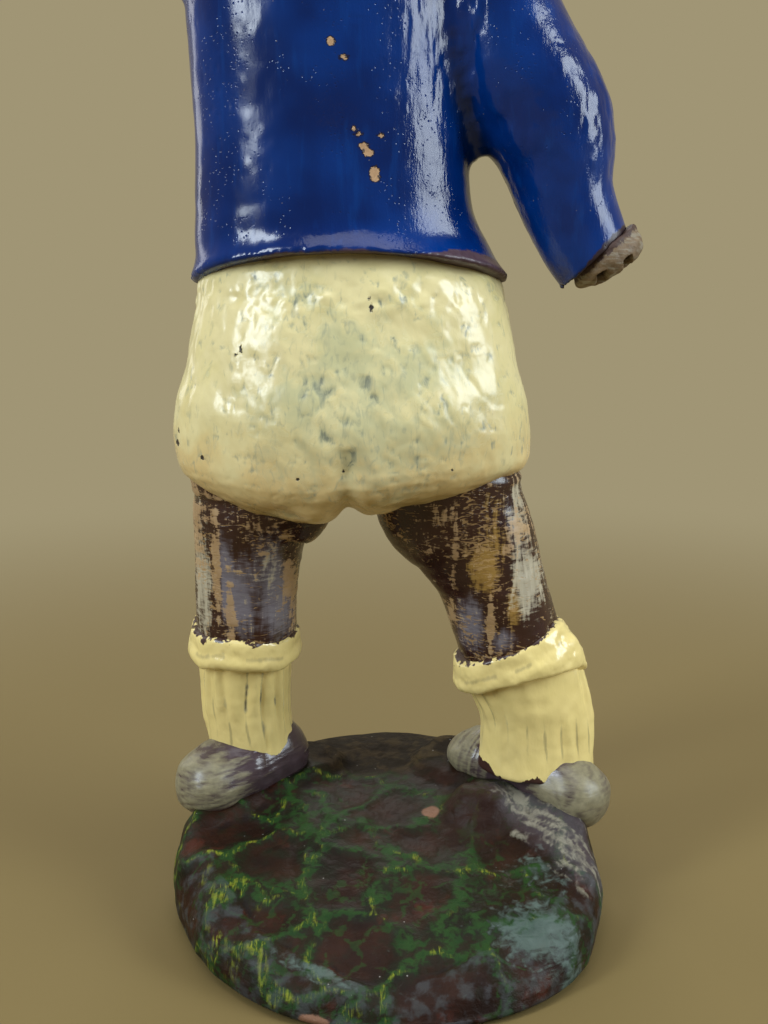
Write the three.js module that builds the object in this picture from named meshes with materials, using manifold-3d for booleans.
// Handball player: a hand-modelled, painted clay figure on a rough mound of earth.
// Millimetres, +Z up. The figure faces -Y, so its left hand is on the +X side.
// The origin is the middle of the mound's flat underside.
// Each lump of clay that the maker formed and pressed on is a solid of its own.

import * as THREE from 'three';
import { mergeVertices } from 'three/addons/utils/BufferGeometryUtils.js';
import Module from 'manifold-3d';

const wasm = await Module();
wasm.setup();

// Joints between pieces
const slipGap = 0.3;
const bedding = 1.5;

// Mound
const moundWidth = 97;
const moundDepth = 106;
const moundHeight = 23;
const moundWallShare = 0.42;
const moundUndercut = 4;
const moundSwell = 1.1;
const groundFall = 2.6;
const groundFallShare = 0.86;
const groundEdge = 10;

// Shoes
const shoeWidth = 16;
const shoeHeight = 14;
const leftShoeLength = 34;
const rightShoeLength = 41;
const leftShoeStout = 1.16;
const rightShoeStout = 1.04;
const leftToeGirth = 0.92;
const rightToeGirth = 0.84;
const leftHeelGirth = 0.86;
const rightHeelGirth = 1.08;
const leftToeDrop = 1.8;
const rightToeDrop = 3;
const leftShoeTurn = 38;
const rightShoeTurn = -37;
const leftShoeX = 34.8;
const leftShoeY = -14.4;
const rightShoeX = -31.4;
const rightShoeY = -12;

// Legs, measured from the ground under each foot
const leftAnkleX = 33;
const leftAnkleY = -18;
const rightAnkleX = -34;
const rightAnkleY = -10;
const ankleRise = 9;
const kneeRise = 36.5;
const hipRise = 86;
const leftHipX = 31;
const rightHipX = -12;
const hipY = -8;
const kneeSpread = 1.5;
const calfBulge = 1.2;
const thighRadius = 12;
const thighTopRadius = 15;
const rightThighExtra = 0.9;
const crotchFlare = 6.9;
const leftFlareFrom = 0.52;
const rightFlareFrom = 0.33;
const ankleRadius = 9.6;
const calfRadius = 11;
const rightCalfExtra = 2.5;

// Sock ribs and turned-down cuffs
const ribCount = 18;
const ribDepth = 0.45;
const cuffThickness = 1.45;
const cuffDepth = 8.5;
const cuffDrop = 0.7;
const cuffRoll = 0.5;
const rightCuffSag = 6;
const chordSlack = 0.1;

// Shorts
const shortsX = 8.6;
const shortsY = -7;
const shortsWidth = 77;
const shortsThickness = 52;
const shortsLength = 49.5;
const waistWidth = 64;
const waistThickness = 42;
const plugRise = 11;
const plugInset = 5;
const cleftDepth = 3;
const hipCover = 17.5;
const shortsHemRound = 11;
const lobeDrop = 3;
const hemTilt = 3;

// Jersey
const hemOverhang = 2;
const hemArch = 6;
const jerseyLength = 72;
const jerseyWaistWidth = 56.6;
const jerseyWaistThickness = 40;
const jerseyChestWidth = 58;
const jerseyChestThickness = 44;
const jerseyLean = 4.9;
const shoulderOut = 1.5;
const shoulderLift = 10;
const rootShare = 0.8;

// Right sleeve, which hangs away from the body, and the broken wrist in its end
const rightShoulderRadius = 14;
const rightElbowRadius = 13.3;
const rightCuffRadius = 8.6;
const upperArmLength = 30;
const forearmLength = 29;
const rightUpperArmTilt = 32;
const rightForearmTilt = 20.7;
const rightForearmBow = 1.4;
const cuffSlant = 16;
const slantShare = 0.75;
const stumpRadius = 8.1;
const stumpLength = 4.8;
const stumpShift = 2.4;
const stumpSlant = 0.3;
const tenonRadius = 6;
const tenonLength = 6;
const slotLength = 6.5;
const slotShift = 4;
const slotWidth = 2;
const slotDepth = 3;

// Left sleeve, stretched out and up, and its hand
const leftShoulderRadius = 12.5;
const leftElbowRadius = 12;
const leftCuffRadius = 8.4;
const leftArmRaise = 48;
const leftForearmRaise = 27;
const leftArmForward = 20;
const leftForearmForward = 38;
const palmLength = 13;
const palmWidth = 14;
const palmThickness = 7;
const fingerLength = 12.5;
const fingerRadius = 2.1;
const thumbLength = 9;

// Neck, collar, head and hair
const neckRadius = 8.5;
const neckRise = 4.5;
const neckDepth = 7;
const collarThickness = 2.2;
const collarHeight = 4.5;
const headHeight = 43;
const headWidth = 29;
const headDepth = 36;
const headTurn = 48;
const noseLength = 9;
const noseReach = 4.6;
const mouthWidth = 8.4;
const earHeight = 10;
const earReach = 2.6;
const hairThickness = 2.2;

// Fineness of the modelled surfaces
const roundSides = 20;
const bodySides = 32;
const domeRings = 3;

const degree = Math.PI / 180;
const up = new THREE.Vector3(0, 0, 1);
const back = new THREE.Vector3(0, 1, 0);

function at(x, y, z) {
  return new THREE.Vector3(x, y, z);
}

// A closed skin over rings of points that climb from a first pole to a last pole.
function skin(rings, firstPole, lastPole) {
  const sides = rings[0].length;
  const points = [firstPole, ...rings.flat(), lastPole];
  const faces = [];
  const last = points.length - 1;
  for (let side = 0; side < sides; side += 1) {
    const next = (side + 1) % sides;
    faces.push(0, 1 + next, 1 + side);
    for (let ring = 0; ring + 1 < rings.length; ring += 1) {
      const low = 1 + ring * sides;
      const high = low + sides;
      faces.push(low + side, low + next, high + next);
      faces.push(low + side, high + next, high + side);
    }
    const top = 1 + (rings.length - 1) * sides;
    faces.push(top + side, top + next, last);
  }
  const geometry = new THREE.BufferGeometry().setFromPoints(points);
  geometry.setIndex(faces);
  return geometry;
}

// Where the rings of a form lie along its spine, with quarter-round ends where asked.
function ringStations(length, startRound, endRound, rings) {
  const stations = [];
  const quarter = Math.PI / 2 / domeRings;
  if (startRound > 0) {
    for (let step = 1; step < domeRings; step += 1) {
      stations.push([startRound * (1 - Math.cos(step * quarter)), Math.sin(step * quarter)]);
    }
  }
  for (let ring = 0; ring < rings; ring += 1) {
    stations.push([startRound + ((length - startRound - endRound) * ring) / (rings - 1), 1]);
  }
  if (endRound > 0) {
    for (let step = domeRings - 1; step > 0; step -= 1) {
      stations.push([length - endRound * (1 - Math.cos(step * quarter)), Math.sin(step * quarter)]);
    }
  }
  return stations;
}

// A modelled lump of clay: oval rings along a curved spine. Each girth is a half width
// across and a half depth towards facing. A level form keeps its rings horizontal.
// relief lifts the surface, warp bends it.
function lump(design, grow = 0) {
  const { spine, girth, facing = back, sides = roundSides, rings = 6 } = design;
  const { startRound = 0, endRound = 0, level = false, relief, warp } = design;
  const path = new THREE.CatmullRomCurve3(spine);
  const sizes = new THREE.CatmullRomCurve3(girth.map(([across, deep]) => at(across, deep, 0)));
  const length = path.getLength();
  const stretch = (length + 2 * grow) / length;
  const place = (reach) => {
    const share = THREE.MathUtils.clamp(reach / length, 0, 1);
    const t = path.getUtoTmapping(share);
    const along = level ? up.clone() : path.getTangent(t);
    const across = facing.clone().cross(along).normalize();
    const deep = along.clone().cross(across);
    const middle = path.getPoint(t).addScaledVector(along, reach - share * length);
    return { middle, across, deep, share, size: sizes.getPoint(t) };
  };
  const stations = ringStations(length, startRound, endRound, rings);
  const outline = stations.map(([reach, scale]) => {
    const { middle, across, deep, share, size } = place(reach * stretch - grow);
    const ring = [];
    for (let side = 0; side < sides; side += 1) {
      const angle = (2 * Math.PI * side) / sides;
      const lift = relief ? relief(angle, share) * scale : 0;
      const point = middle.clone();
      point.addScaledVector(across, ((size.x + grow) * scale + lift) * Math.cos(angle));
      point.addScaledVector(deep, ((size.y + grow) * scale + lift) * Math.sin(angle));
      if (warp) warp(point, angle, share);
      ring.push(point);
    }
    return ring;
  });
  const first = place(-grow).middle;
  const last = place(length + grow).middle;
  if (warp) {
    warp(first, Math.PI / 2, 0);
    warp(last, Math.PI / 2, 1);
  }
  return skin(outline, first, last);
}

function toSolid(geometry) {
  const bare = geometry.clone();
  bare.deleteAttribute('normal');
  bare.deleteAttribute('uv');
  const merged = mergeVertices(bare);
  return new wasm.Manifold(new wasm.Mesh({
    numProp: 3,
    vertProperties: new Float32Array(merged.attributes.position.array),
    triVerts: new Uint32Array(merged.index.array),
  }));
}

function clay(design, grow = 0) {
  return toSolid(lump(design, grow));
}

// The main body of a cut piece, without crumbs left by the cut.
function mainBody(solid) {
  const bodies = solid.decompose();
  return bodies.reduce((best, body) => (body.volume() > best.volume() ? body : best));
}

function carve(solid, ...tools) {
  return mainBody(tools.reduce((left, tool) => left.subtract(tool), solid));
}

function moundRadius(angle) {
  const oval = Math.hypot(Math.cos(angle) / moundWidth, Math.sin(angle) / moundDepth);
  const uneven = 1 + 0.022 * Math.sin(3 * angle + 0.8) + 0.012 * Math.sin(5 * angle + 2.1);
  return (0.5 / oval) * uneven;
}

// Lumps of clay left on the ground: beside the right foot, behind the heels, round the rim.
// Their places are shares of the mound's half width and half depth.
const groundLumps = [
  { across: -0.42, deep: -0.05, rise: 4.6, spread: 7 },
  { across: -0.74, deep: 0.17, rise: 2.2, spread: 9 },
  { across: 0.47, deep: -0.87, rise: 1.8, spread: 6 },
  { across: -0.6, deep: 0.57, rise: 1.8, spread: 9 },
  { across: 0.27, deep: 0.64, rise: 1.5, spread: 9 },
  { across: 0.85, deep: 0.19, rise: 1.4, spread: 8 },
];

// The ground is highest under the feet and falls away behind the figure's back.
function groundAt(x, y) {
  const angle = Math.atan2(y, x);
  const share = Math.min(Math.hypot(x, y) / moundRadius(angle), 1);
  const fall = THREE.MathUtils.clamp(0.5 + y / moundDepth, 0, 1) ** groundFall;
  const crown = moundHeight * (1 - groundFallShare * fall);
  const rises = groundLumps.map(({ across, deep, rise, spread }) => {
    const reach = Math.hypot(x - (across * moundWidth) / 2, y - (deep * moundDepth) / 2);
    return rise * Math.exp(-((reach / spread) ** 2));
  });
  const ripple = moundSwell * Math.sin(x / 9 + 0.7) * Math.cos(y / 11 - 0.4);
  const swell = rises.reduce((sum, rise) => sum + rise, ripple) * (1 - share ** 6);
  const wall = crown * moundWallShare;
  return wall + (crown + swell - wall) * Math.sqrt(Math.max(0, 1 - share ** groundEdge));
}

function moundSkin(grow = 0) {
  const sides = 44;
  const shares = [1, 0.985, 0.95, 0.86, 0.7, 0.5, 0.28];
  const ringAt = (radiusAt, heightAt) => {
    const ring = [];
    for (let side = 0; side < sides; side += 1) {
      const angle = (2 * Math.PI * side) / sides;
      const radius = radiusAt(angle);
      const x = radius * Math.cos(angle);
      const y = radius * Math.sin(angle);
      ring.push(at(x, y, heightAt(x, y, angle)));
    }
    return ring;
  };
  const wallHeight = (angle) => {
    const radius = moundRadius(angle);
    return groundAt(radius * Math.cos(angle), radius * Math.sin(angle));
  };
  const rings = [
    ringAt((angle) => moundRadius(angle) - moundUndercut, () => -grow),
    ringAt(
      (angle) => moundRadius(angle) - moundUndercut / 4 + grow,
      (x, y, angle) => wallHeight(angle) * 0.4,
    ),
    ...shares.map((share) => ringAt(
      (angle) => moundRadius(angle) * share + grow,
      (x, y) => groundAt(x * 0.9999, y * 0.9999) + grow,
    )),
  ];
  return skin(rings, at(0, 0, -grow), at(0, 0, groundAt(0, 0) + grow));
}

// A shoe lies along the ground from heel to toe, turned from the sideways direction.
function shoeDesign({ x, y, length, turn, stout, heelGirth, toeGirth, toeDrop }) {
  const stretch = at(Math.cos(turn * degree), Math.sin(turn * degree), 0);
  const spine = [-0.5, -0.2, 0.2, 0.5].map((share) => {
    const point = at(x, y, 0).addScaledVector(stretch, share * length);
    const rest = point.clone().lerp(at(x, y, 0), 0.1);
    point.z = groundAt(rest.x, rest.y) + shoeHeight / 2 - bedding - toeDrop * Math.max(0, share);
    return point;
  });
  const wide = (shoeWidth / 2) * stout;
  const tall = (shoeHeight / 2) * stout;
  return {
    spine,
    girth: [
      [wide * heelGirth, tall * heelGirth],
      [wide, tall * 1.08],
      [wide, tall],
      [wide * toeGirth, tall * toeGirth - toeDrop / 2],
    ],
    facing: up,
    rings: 5,
    startRound: tall,
    endRound: tall,
  };
}

const leftShoeDesign = shoeDesign({
  x: leftShoeX,
  y: leftShoeY,
  length: leftShoeLength,
  turn: leftShoeTurn,
  stout: leftShoeStout,
  heelGirth: leftHeelGirth,
  toeGirth: leftToeGirth,
  toeDrop: leftToeDrop,
});
const rightShoeDesign = shoeDesign({
  x: rightShoeX,
  y: rightShoeY,
  length: rightShoeLength,
  turn: rightShoeTurn,
  stout: rightShoeStout,
  heelGirth: rightHeelGirth,
  toeGirth: rightToeGirth,
  toeDrop: rightToeDrop,
});

// One line runs up each leg, through the sock, the cuff and the bare thigh.
function legLine(ankleX, ankleY, hipX) {
  const ground = groundAt(ankleX, ankleY);
  const outward = Math.sign(ankleX);
  const kneeShare = (kneeRise - ankleRise) / (hipRise - ankleRise);
  const ankle = at(ankleX, ankleY, ground + ankleRise);
  const hip = at(hipX, hipY, ground + hipRise);
  const knee = ankle.clone().lerp(hip, kneeShare).add(at(outward * kneeSpread, 0, 0));
  return { ankle, knee, hip, outward };
}

const leftLeg = legLine(leftAnkleX, leftAnkleY, leftHipX);
const rightLeg = legLine(rightAnkleX, rightAnkleY, rightHipX);

function sockDesign(leg, extra) {
  const fade = (share) => Math.sin(Math.PI * (0.15 + 0.7 * share));
  return {
    spine: [
      leg.ankle,
      leg.ankle.clone().lerp(leg.knee, 0.5).add(at(leg.outward * (calfBulge + extra * 0.5), 0, 0)),
      leg.knee,
    ],
    girth: [
      [ankleRadius + extra * 1.5, ankleRadius],
      [(ankleRadius + calfRadius) / 2 + extra, (ankleRadius + calfRadius) / 2],
      [calfRadius + extra, calfRadius],
    ],
    sides: ribCount * 3,
    rings: 5,
    relief: (angle, share) => ribDepth * Math.cos(ribCount * angle) * fade(share),
  };
}

// The inside of the thigh flares towards the other one, up to where the shorts begin.
function thighDesign(leg, extra, flareFrom) {
  const line = leg.hip.clone().sub(leg.knee).normalize();
  const crotchShare = 0.7;
  const knots = [0.35, (flareFrom + crotchShare) / 2, crotchShare].map((share) => {
    const flare = crotchFlare * Math.max(0, (share - flareFrom) / (crotchShare - flareFrom)) ** 1.5;
    const swelling = THREE.MathUtils.smoothstep(share, 0.35, crotchShare);
    const radius = THREE.MathUtils.lerp(thighRadius, (thighRadius + thighTopRadius) / 2, swelling);
    return {
      middle: leg.knee.clone().lerp(leg.hip, share).add(at(-leg.outward * flare / 2, 0, 0)),
      size: [radius + extra * share + flare / 2 - 0.8 * swelling, radius],
    };
  });
  return {
    spine: [
      leg.knee.clone().addScaledVector(line, -bedding),
      ...knots.map(({ middle }) => middle),
      leg.hip,
    ],
    girth: [
      [thighRadius * 0.96, thighRadius * 0.96],
      ...knots.map(({ size }) => size),
      [thighTopRadius, thighTopRadius],
    ],
    rings: 15,
    endRound: 5,
  };
}

// The cuff is wrapped round the top of the sock and follows its line.
// Its outer side hangs lower than the rest by the sag.
function cuffDesign(leg, sock, extra, sag) {
  const calf = new THREE.CatmullRomCurve3(sock.spine);
  const line = leg.hip.clone().sub(leg.knee).normalize();
  const radius = calfRadius + extra + ribDepth + slipGap + cuffThickness;
  const below = calf.getPointAt(1 - (cuffDepth * cuffDrop) / calf.getLength());
  const middle = calf.getPointAt(1 - (cuffDepth * cuffDrop) / 2 / calf.getLength());
  const above = leg.knee.clone().addScaledVector(line, cuffDepth * (1 - cuffDrop));
  const down = below.clone().sub(middle).normalize();
  return {
    spine: [below, middle, above],
    girth: [
      [radius - cuffRoll, radius - extra - cuffRoll],
      [radius, radius - extra],
      [radius - cuffRoll, radius - extra - cuffRoll],
    ],
    sides: 30,
    rings: 4,
    relief: (angle) => (ribDepth / 2) * Math.cos(ribCount * angle / 2),
    warp: (point, angle, share) => {
      const outer = Math.max(0, (leg.outward * (point.x - middle.x)) / radius);
      point.addScaledVector(down, sag * outer ** 1.5 * (1 - share));
    },
  };
}

const leftSockDesign = sockDesign(leftLeg, 0);
const rightSockDesign = sockDesign(rightLeg, rightCalfExtra);
const leftThighDesign = thighDesign(leftLeg, 0, leftFlareFrom);
const rightThighDesign = thighDesign(rightLeg, rightThighExtra, rightFlareFrom);

// The shorts hang like a sack from the waist. Their hem dips between the thighs.
const crotchZ = Math.min(leftLeg.hip.z, rightLeg.hip.z) - hipCover;
const waistZ = crotchZ + shortsLength;

function shortsRelief(angle, share) {
  const behind = Math.exp(-(((angle - Math.PI / 2) / 0.16) ** 2));
  const front = Math.exp(-(((angle - 1.5 * Math.PI) / 0.2) ** 2));
  const low = Math.max(0, 1 - share / 0.42);
  const lumps = 0.7 * Math.sin(4 * angle + 9 * share) * Math.sin(7 * share + 1);
  return lumps - cleftDepth * (behind + 0.7 * front) * low;
}

function lobeWarp(point, angle, share) {
  const low = Math.max(0, 1 - share / 0.3);
  const left = Math.exp(-(((point.x - shortsX - 9) / 15) ** 2));
  const lift = Math.max(0, (shortsX - point.x) / (shortsWidth / 2));
  point.z += low * (hemTilt * lift - lobeDrop * left);
}

const shortsDesign = {
  spine: [
    at(shortsX, shortsY, crotchZ),
    at(shortsX, shortsY, crotchZ + shortsLength * 0.36),
    at(shortsX, shortsY, crotchZ + shortsLength * 0.72),
    at(shortsX, shortsY, waistZ),
    at(shortsX + jerseyLean * 0.6, shortsY, waistZ + plugRise),
  ],
  girth: [
    [shortsWidth / 2 - 1, shortsThickness / 2 - 1],
    [shortsWidth / 2, shortsThickness / 2],
    [shortsWidth / 2 - 3, shortsThickness / 2 - 2],
    [waistWidth / 2, waistThickness / 2],
    [jerseyWaistWidth / 2 - plugInset, jerseyWaistThickness / 2 - plugInset],
  ],
  sides: bodySides,
  rings: 9,
  startRound: shortsHemRound,
  level: true,
  relief: shortsRelief,
  warp: lobeWarp,
};

// The jersey is the torso: it hangs over the waist of the shorts as a lipped hem.
const hemZ = waistZ - 1;
const shoulderZ = hemZ + jerseyLength;
const chestX = shortsX + jerseyLean;

function hemWarp(point, angle, share) {
  const low = Math.max(0, 1 - share / 0.22) ** 2;
  point.z += hemArch * low * Math.abs(Math.sin(angle));
}

const jerseyDesign = {
  spine: [
    at(shortsX, shortsY, hemZ),
    at(shortsX + jerseyLean * 0.2, shortsY, hemZ + jerseyLength * 0.08),
    at(shortsX + jerseyLean * 0.7, shortsY, hemZ + jerseyLength * 0.22),
    at(shortsX + jerseyLean * 0.8, shortsY, hemZ + jerseyLength * 0.45),
    at(chestX, shortsY - 1, hemZ + jerseyLength * 0.78),
    at(chestX, shortsY - 1, shoulderZ),
  ],
  girth: [
    [waistWidth / 2 + hemOverhang, waistThickness / 2 + hemOverhang],
    [waistWidth / 2 + hemOverhang - 1.7, waistThickness / 2 + hemOverhang - 1],
    [jerseyWaistWidth / 2 + 0.9, jerseyWaistThickness / 2],
    [jerseyWaistWidth / 2, jerseyWaistThickness / 2],
    [jerseyChestWidth / 2, jerseyChestThickness / 2],
    [jerseyChestWidth / 2 - 1, jerseyChestThickness / 2 - 3],
  ],
  sides: bodySides,
  rings: 11,
  endRound: 12,
  level: true,
  warp: hemWarp,
};

// Each arm is a sleeve luted to the shoulder, with the wrist let into its end.
const rightShoulder = at(
  chestX - jerseyChestWidth / 2 - shoulderOut,
  shortsY,
  shoulderZ - rightShoulderRadius,
);
const leftShoulder = at(
  chestX + jerseyChestWidth / 2 - 3 * shoulderOut,
  shortsY,
  shoulderZ - leftShoulderRadius + shoulderLift,
);

function armPoint(from, length, outward, raise, forward) {
  const flat = Math.cos(raise * degree) * length;
  return from.clone().add(at(
    outward * flat * Math.cos(forward * degree),
    -flat * Math.sin(forward * degree),
    Math.sin(raise * degree) * length,
  ));
}

const rightElbow = armPoint(rightShoulder, upperArmLength, -1, rightUpperArmTilt - 90, -6);
const rightWrist = armPoint(rightElbow, forearmLength, -1, rightForearmTilt - 90, -10);
const leftElbow = armPoint(leftShoulder, upperArmLength, 1, leftArmRaise, leftArmForward);
const leftWrist = armPoint(leftElbow, forearmLength, 1, leftForearmRaise, leftForearmForward);

// A sleeve starts inside the torso, so that the shoulder runs over into it.
function sleeveDesign(shoulder, elbow, wrist, radii, bow = 0) {
  const { shoulderRadius, elbowRadius, cuffRadius } = radii;
  const forearmRadius = THREE.MathUtils.lerp(cuffRadius, elbowRadius, 0.36);
  const reach = Math.sign(chestX - shoulder.x);
  const root = shoulder.clone().add(at(reach * shoulderRadius * rootShare, 0, 0));
  root.z = shoulderZ - shoulderRadius * 0.9;
  return {
    spine: [
      root,
      shoulder,
      shoulder.clone().lerp(elbow, 0.5),
      elbow,
      elbow.clone().lerp(wrist, 0.55).add(at(reach * bow, 0, 0)),
      wrist,
    ],
    girth: [
      [shoulderRadius * 0.9, shoulderRadius * 0.9],
      [shoulderRadius * 0.97, shoulderRadius],
      [shoulderRadius, shoulderRadius],
      [elbowRadius, elbowRadius],
      [forearmRadius, forearmRadius],
      [cuffRadius, cuffRadius],
    ],
    rings: 10,
    startRound: shoulderRadius * 0.9,
  };
}

const rightRadii = {
  shoulderRadius: rightShoulderRadius,
  elbowRadius: rightElbowRadius,
  cuffRadius: rightCuffRadius,
};
const leftRadii = {
  shoulderRadius: leftShoulderRadius,
  elbowRadius: leftElbowRadius,
  cuffRadius: leftCuffRadius,
};
const rightSleeveDesign = sleeveDesign(
  rightShoulder, rightElbow, rightWrist, rightRadii, rightForearmBow);
const leftSleeveDesign = sleeveDesign(leftShoulder, leftElbow, leftWrist, leftRadii);
const rightWristWay = new THREE.CatmullRomCurve3(rightSleeveDesign.spine).getTangent(1);
const leftWristWay = leftWrist.clone().sub(leftElbow).normalize();
const cuffSide = back.clone().cross(rightWristWay).normalize();

// The right sleeve ends at a slant, with its outer side the shorter one.
function slant(point, amount) {
  const aside = point.clone().sub(rightWrist).dot(cuffSide);
  point.addScaledVector(rightWristWay, -aside * Math.tan(cuffSlant * degree) * amount);
}

rightSleeveDesign.warp = (point, angle, share) => {
  slant(point, THREE.MathUtils.smoothstep(share, slantShare, 1));
};

function wristTenon(line, wrist) {
  return {
    spine: [
      wrist.clone().addScaledVector(line, -tenonLength),
      wrist.clone().addScaledVector(line, bedding),
    ],
    girth: [[tenonRadius, tenonRadius], [tenonRadius, tenonRadius]],
    rings: 2,
  };
}

const rightTenonDesign = {
  ...wristTenon(rightWristWay, rightWrist),
  warp: (point, angle, share) => slant(point, share),
};
const leftTenonDesign = wristTenon(leftWristWay, leftWrist);

// The hand broke off here: a bare clay end with two slots where its clay was keyed.
function stump() {
  const line = rightWristWay;
  const middle = rightWrist.clone().addScaledVector(cuffSide, stumpShift);
  const start = middle.clone().addScaledVector(line, slipGap);
  const end = middle.clone().addScaledVector(line, stumpLength);
  const lip = clay({
    spine: [start, start.clone().lerp(end, 0.5), end],
    girth: [
      [stumpRadius - 0.4, stumpRadius - 0.4],
      [stumpRadius, stumpRadius],
      [stumpRadius - 1.5, stumpRadius - 1.5],
    ],
    rings: 3,
    relief: (angle) => 0.35 * Math.sin(5 * angle + 1),
    warp: (point, angle, share) => slant(point, 1 + (stumpSlant - 1) * share),
  });
  const slots = [-0.42, 0.3].map((share) => {
    const box = new THREE.BoxGeometry(slotWidth, slotLength, slotDepth * 2);
    const turned = new THREE.Matrix4().makeRotationFromQuaternion(
      new THREE.Quaternion().setFromUnitVectors(up, line));
    box.translate(share * stumpRadius, slotShift, 0);
    box.applyMatrix4(turned);
    box.translate(end.x, end.y, end.z);
    return toSolid(box);
  });
  return carve(clay(rightTenonDesign).add(lip), ...slots);
}

// The open left hand: a flat palm with four fingers and a thumb rolled on.
function hand() {
  const line = leftWristWay;
  const palmFacing = at(-line.y, line.x, 0).normalize().negate();
  const across = palmFacing.clone().cross(line).normalize();
  const start = leftWrist.clone().addScaledVector(line, slipGap);
  const knuckles = start.clone().addScaledVector(line, palmLength);
  const palm = clay({
    spine: [start, start.clone().lerp(knuckles, 0.5), knuckles],
    girth: [
      [palmWidth * 0.36, palmThickness * 0.5],
      [palmWidth * 0.48, palmThickness * 0.5],
      [palmWidth * 0.46, palmThickness * 0.4],
    ],
    facing: palmFacing,
    sides: 14,
    rings: 4,
    startRound: 2,
    endRound: 2,
  });
  const spread = [-0.36, -0.12, 0.12, 0.36];
  const lengths = [0.8, 0.97, 1, 0.88];
  const fingers = spread.map((share, index) => {
    const root = knuckles.clone().addScaledVector(across, share * palmWidth).addScaledVector(line, -3);
    const way = line.clone().addScaledVector(across, share * 0.45).normalize();
    const tip = root.clone().addScaledVector(way, lengths[index] * fingerLength + 3);
    return clay({
      spine: [root, root.clone().lerp(tip, 0.5).addScaledVector(palmFacing, 0.5), tip],
      girth: [
        [fingerRadius, fingerRadius],
        [fingerRadius, fingerRadius],
        [fingerRadius * 0.8, fingerRadius * 0.8],
      ],
      facing: palmFacing,
      sides: 8,
      rings: 3,
      endRound: 1.6,
    });
  });
  const thumbRoot = start.clone()
    .addScaledVector(line, palmLength * 0.35)
    .addScaledVector(across, palmWidth * 0.3);
  const thumbTip = thumbRoot.clone()
    .addScaledVector(line, thumbLength * 0.75)
    .addScaledVector(across, thumbLength * 0.75)
    .addScaledVector(palmFacing, -2);
  const thumb = clay({
    spine: [thumbRoot, thumbRoot.clone().lerp(thumbTip, 0.5), thumbTip],
    girth: [[2.8, 2.6], [2.6, 2.4], [2, 2]],
    facing: palmFacing,
    sides: 8,
    rings: 3,
    endRound: 1.8,
  });
  return [palm, ...fingers, thumb].reduce((whole, piece) => whole.add(piece), clay(leftTenonDesign));
}

// Neck and collar
const neckFoot = at(chestX, shortsY - 2, shoulderZ - neckDepth);
const chin = at(chestX + 1, shortsY - 4, shoulderZ + neckRise);
const neckTop = chin.clone().add(at(0, 1, headHeight * 0.3));

const neckDesign = {
  spine: [neckFoot, neckFoot.clone().lerp(neckTop, 0.5), neckTop],
  girth: [[neckRadius + 1, neckRadius + 1], [neckRadius, neckRadius], [neckRadius - 0.5, neckRadius - 0.5]],
  rings: 4,
  endRound: 3,
};

function collar() {
  const tube = collarThickness;
  const ring = new THREE.TorusGeometry(neckRadius + collarThickness, tube, 7, 24);
  ring.scale(1, 1, collarHeight / (2 * tube));
  ring.rotateX(-0.12);
  ring.translate(chestX, shortsY - 2.4, shoulderZ + collarHeight * 0.22);
  return toSolid(ring);
}

// The head is modelled looking towards -Y with its chin at the origin, then turned.
const eyeZ = headHeight * 0.5;
const skullDesign = {
  spine: [
    at(0, -headDepth * 0.2, 0),
    at(0, -headDepth * 0.12, headHeight * 0.22),
    at(0, 0, headHeight * 0.5),
    at(0, headDepth * 0.03, headHeight * 0.75),
    at(0, headDepth * 0.02, headHeight),
  ],
  girth: [
    [headWidth * 0.29, headDepth * 0.31],
    [headWidth * 0.42, headDepth * 0.4],
    [headWidth * 0.49, headDepth * 0.47],
    [headWidth * 0.5, headDepth * 0.48],
    [headWidth * 0.44, headDepth * 0.42],
  ],
  sides: 28,
  rings: 9,
  startRound: 5,
  endRound: 12,
  relief: (angle, share) => {
    const eye = Math.exp(-(((Math.abs(angle - 1.5 * Math.PI) - 0.36) / 0.2) ** 2));
    const level = Math.exp(-(((share - 0.5) / 0.07) ** 2));
    return -1.5 * eye * level;
  },
};

const earDesigns = [-1, 1].map((side) => {
  const x = side * headWidth * 0.5;
  return {
    spine: [
      at(x, 1, eyeZ - earHeight * 0.75),
      at(x + side * earReach * 0.5, 2.4, eyeZ - earHeight * 0.25),
      at(x + side * earReach * 0.4, 2, eyeZ + earHeight * 0.25),
    ],
    girth: [[1.6, 1.8], [earReach * 0.7, 3.2], [1.6, 2.6]],
    sides: 10,
    rings: 3,
    startRound: 1.4,
    endRound: 2,
  };
});

function head() {
  const brow = at(0, -headDepth * 0.45, eyeZ);
  const noseTip = at(0, -headDepth * 0.45 - noseReach * 0.6, eyeZ - noseLength);
  const nose = clay({
    spine: [brow, brow.clone().lerp(noseTip, 0.5), noseTip],
    girth: [[1.6, 1.4], [1.9, 2], [2.9, 2.4]],
    sides: 10,
    rings: 3,
    startRound: 1.5,
    endRound: 2,
  });
  const mouthZ = headHeight * 0.2;
  const lips = clay({
    spine: [
      at(-mouthWidth / 2, -headDepth * 0.42, mouthZ),
      at(0, -headDepth * 0.49, mouthZ),
      at(mouthWidth / 2, -headDepth * 0.42, mouthZ),
    ],
    girth: [[1.2, 1], [1.9, 1.3], [1.2, 1]],
    facing: back,
    sides: 8,
    rings: 4,
    startRound: 1,
    endRound: 1,
  });
  const ears = earDesigns.map((design) => clay(design));
  return [nose, lips, ...ears].reduce((whole, piece) => whole.add(piece), clay(skullDesign));
}

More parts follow.
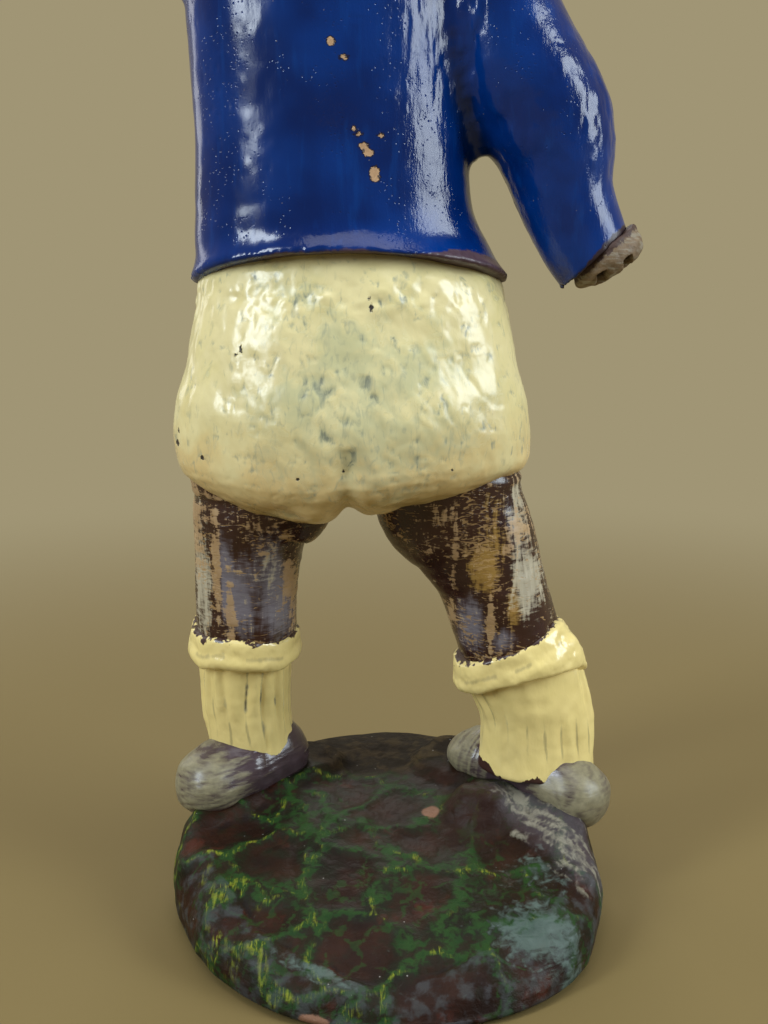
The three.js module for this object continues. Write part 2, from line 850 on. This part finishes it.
// Short hair: a cap over the skull, cut to a hairline seen from the side.
function hair() {
  const cap = clay({ ...skullDesign, relief: undefined }, hairThickness);
  const side = new THREE.Shape();
  side.moveTo(-headDepth, headHeight * 0.76);
  side.lineTo(-headDepth * 0.22, headHeight * 0.74);
  side.lineTo(-headDepth * 0.1, headHeight * 0.52);
  side.lineTo(headDepth * 0.03, headHeight * 0.64);
  side.lineTo(headDepth * 0.2, headHeight * 0.42);
  side.lineTo(headDepth * 0.3, headHeight * 0.2);
  side.lineTo(headDepth, headHeight * 0.18);
  side.lineTo(headDepth, headHeight * 1.3);
  side.lineTo(-headDepth, headHeight * 1.3);
  const slab = new THREE.ExtrudeGeometry(side, { depth: headWidth * 2, bevelEnabled: false, steps: 1 });
  slab.rotateX(Math.PI / 2);
  slab.rotateZ(Math.PI / 2);
  slab.translate(-headWidth, 0, 0);
  const ears = earDesigns.map((design) => clay(design, slipGap));
  return carve(cap.intersect(toSolid(slab)), clay(skullDesign, slipGap), ...ears);
}

function turnHead(solid) {
  const turned = solid.rotate([0, 0, headTurn]);
  return turned.translate([chin.x, chin.y, chin.z]);
}

// Paints over the fired clay, and the bare clay of the break
const enamelBlue = { colour: 0x0b2f6b, roughness: 0.22 };
const enamelCream = { colour: 0xd9c98f, roughness: 0.32 };
const skinPaint = { colour: 0x4a2c22, roughness: 0.45 };
const shoePaint = { colour: 0x77705f, roughness: 0.55 };
const earthPaint = { colour: 0x3a2c26, roughness: 0.4 };
const bareClay = { colour: 0xb08a5e, roughness: 0.85 };
const hairPaint = { colour: 0x2a1a14, roughness: 0.45 };

const figure = new THREE.Group();

// Each piece is placed at its own middle, with its shape around that point.
function addPiece(name, solid, { colour, roughness }) {
  const body = mainBody(solid);
  const { vertProperties, triVerts } = body.getMesh();
  const geometry = new THREE.BufferGeometry();
  geometry.setAttribute('position', new THREE.BufferAttribute(new Float32Array(vertProperties), 3));
  geometry.setIndex(Array.from(triVerts));
  geometry.computeBoundingBox();
  const middle = geometry.boundingBox.getCenter(new THREE.Vector3());
  geometry.translate(-middle.x, -middle.y, -middle.z);
  geometry.computeVertexNormals();
  const material = new THREE.MeshStandardMaterial({ color: colour, roughness, metalness: 0 });
  const mesh = new THREE.Mesh(geometry, material);
  mesh.name = name;
  mesh.position.copy(middle);
  figure.add(mesh);
}

const moundCutter = toSolid(moundSkin(slipGap));
addPiece('base_mound', toSolid(moundSkin()), earthPaint);

function addLeg(side, leg, designs, extra, sag) {
  const shoeCutter = clay(designs.shoe, slipGap);
  const plainSock = { ...designs.sock, relief: undefined, sides: roundSides };
  const sockCutter = clay(plainSock, slipGap + ribDepth + chordSlack);
  const thighCutter = clay(designs.thigh, slipGap);
  const cuff = carve(clay(cuffDesign(leg, designs.sock, extra, sag)), sockCutter, thighCutter);
  addPiece(`${side}_shoe`, carve(clay(designs.shoe), moundCutter), shoePaint);
  addPiece(`${side}_sock`, carve(clay(designs.sock), shoeCutter), enamelCream);
  addPiece(`${side}_sock_cuff`, cuff, enamelCream);
  addPiece(`${side}_thigh`, carve(clay(designs.thigh), sockCutter), skinPaint);
  return thighCutter;
}

const leftDesigns = { shoe: leftShoeDesign, sock: leftSockDesign, thigh: leftThighDesign };
const rightDesigns = { shoe: rightShoeDesign, sock: rightSockDesign, thigh: rightThighDesign };
const thighCutters = [
  addLeg('left', leftLeg, leftDesigns, 0, 0),
  addLeg('right', rightLeg, rightDesigns, rightCalfExtra, rightCuffSag),
];

const neckCutter = clay(neckDesign, slipGap);
const jerseyCutter = clay(jerseyDesign, slipGap);

addPiece('shorts', carve(clay(shortsDesign), ...thighCutters), enamelCream);
addPiece('jersey', carve(clay(jerseyDesign), clay(shortsDesign, slipGap), neckCutter), enamelBlue);
const rightSleeve = carve(clay(rightSleeveDesign), jerseyCutter, clay(rightTenonDesign, slipGap));
const leftSleeve = carve(clay(leftSleeveDesign), jerseyCutter, clay(leftTenonDesign, slipGap));
addPiece('right_sleeve', rightSleeve, enamelBlue);
addPiece('right_wrist', stump(), bareClay);
addPiece('left_sleeve', leftSleeve, enamelBlue);
addPiece('left_hand', hand(), skinPaint);
addPiece('neck', clay(neckDesign), skinPaint);
addPiece('collar', carve(collar(), neckCutter, jerseyCutter), enamelBlue);
addPiece('head', carve(turnHead(head()), neckCutter), skinPaint);
addPiece('hair', carve(turnHead(hair()), neckCutter), hairPaint);

export default figure;
